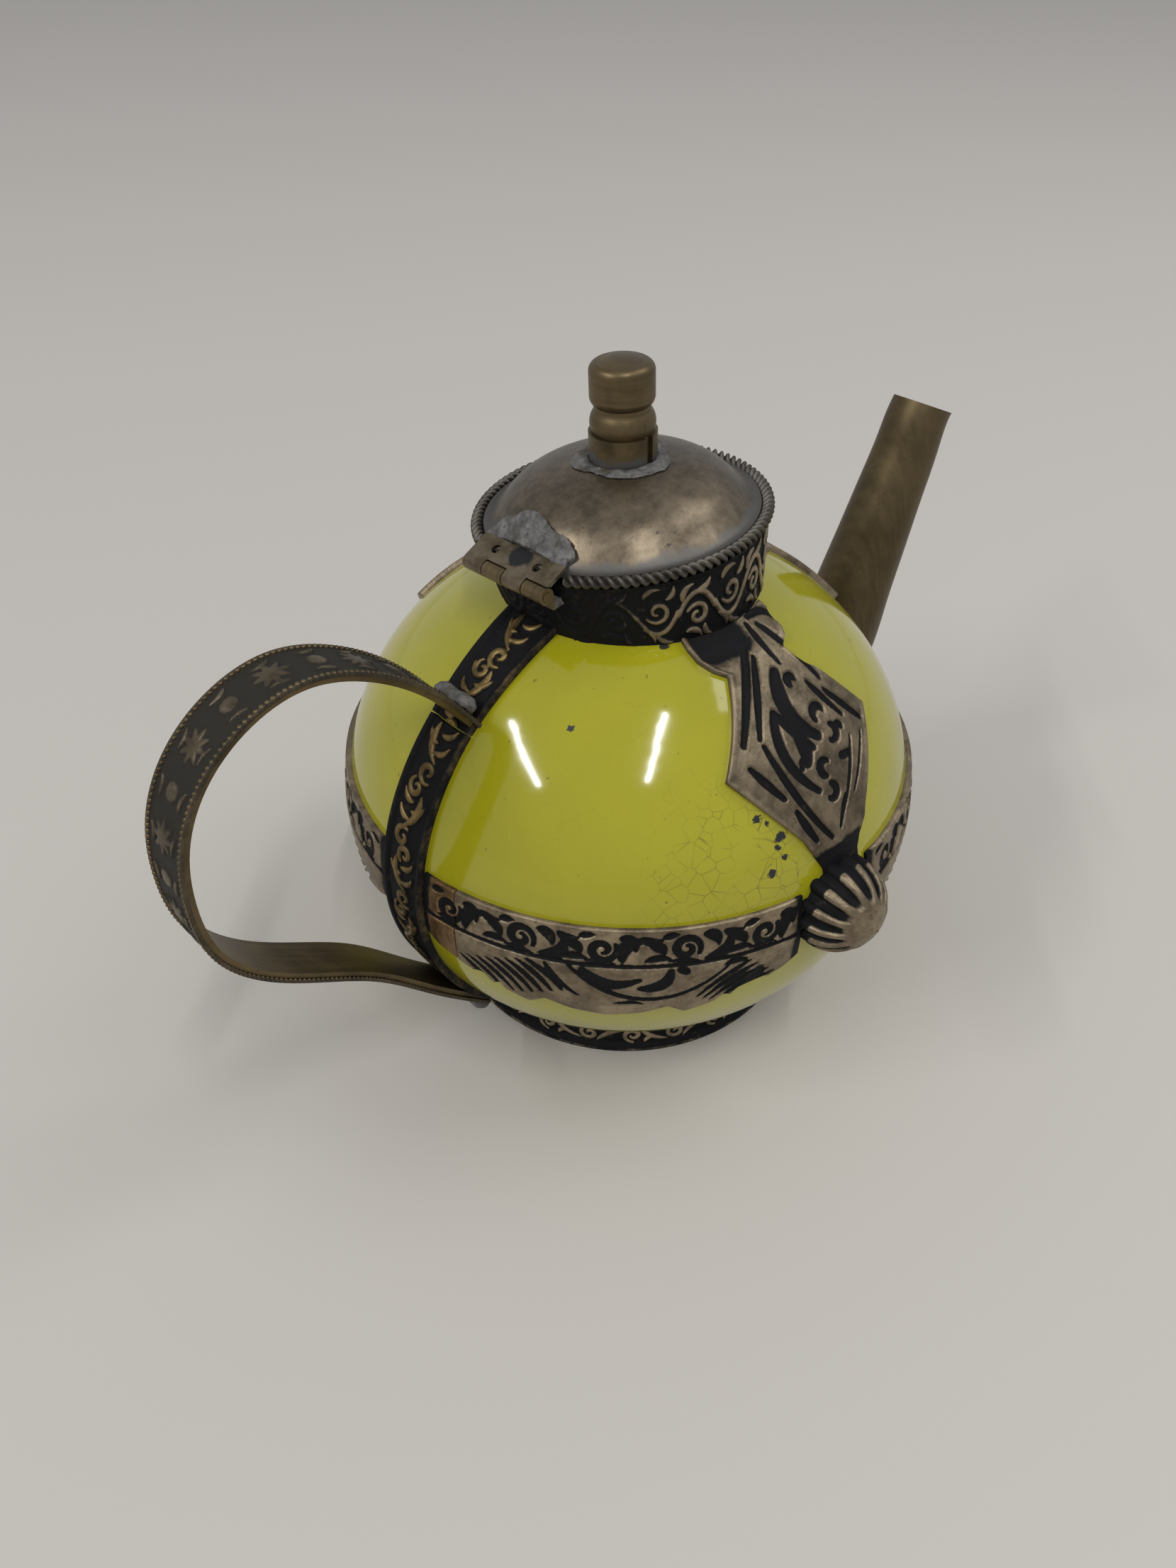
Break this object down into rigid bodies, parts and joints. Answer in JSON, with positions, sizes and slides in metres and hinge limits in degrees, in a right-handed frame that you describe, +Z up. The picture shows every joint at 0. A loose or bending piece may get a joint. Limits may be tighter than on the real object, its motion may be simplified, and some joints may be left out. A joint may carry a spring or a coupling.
{
  "type": "metal mounted ceramic teapot",
  "caption": "Round glazed ceramic pot with chased metal overlay, strap loop handle, bent metal spout and hinged domed lid with a turned knob, for serving hot tea or coffee.",
  "frame": {"origin": "centre of the foot ring on the surface that the pot stands on", "axes": "+X towards the spout, -X towards the handle, +Z up"},
  "size_m": [0.2399, 0.1638, 0.1618],
  "materials": {
    "yellow_glaze": "glossy yellow-green glaze with fine crazing and small pits",
    "chased_metal": "thin chased sheet, worn bright on the raised scrolls, black in the recesses",
    "dark_chased_metal": "chased sheet, mostly blackened, with worn gold scrolls",
    "plain_brass": "plain brushed and tarnished brass",
    "lid_metal": "mottled brown-grey spun sheet, satin",
    "tinned_metal": "dull grey tinned metal",
    "solder": "lumpy dull tin solder"
  },
  "bodies": {
    "pot": {"ceramic_body": "yellow_glaze", "foot_ring": "dark_chased_metal", "belly_band_rear_right": "chased_metal", "belly_band_front_right": "chased_metal", "belly_band_front_left": "chased_metal", "belly_band_rear_left": "chased_metal", "band_splice_right": "chased_metal", "side_plate_right": "chased_metal", "side_plate_left": "chased_metal", "spout_plate": "chased_metal", "boss_right": "chased_metal", "boss_left": "chased_metal", "handle_strap_upper": "dark_chased_metal", "handle_strap_lower": "dark_chased_metal", "handle_inner_strip": "plain_brass", "handle_outer_strip": "chased_metal", "handle_solder_top": "solder", "handle_solder_bottom": "solder", "spout_tube": "plain_brass", "collar": "dark_chased_metal", "hinge_leaf_collar": "plain_brass", "hinge_pin": "plain_brass", "hinge_solder_collar": "solder"},
    "lid": {"lid_dome": "lid_metal", "lid_rope_rim": "tinned_metal", "knob_ferrule": "tinned_metal", "knob_finial": "plain_brass", "knob_solder": "solder", "hinge_leaf_lid": "plain_brass", "hinge_solder_lid": "solder"}
  },
  "joints": [
    {"name": "lid_hinge", "type": "hinge", "parent": "pot", "child": "lid", "pos_m": [-0.03552, 0.0011, 0.12473], "axis": [-0.0021, -0.998, 0.0636], "range_deg": [0, 110]}
  ]
}
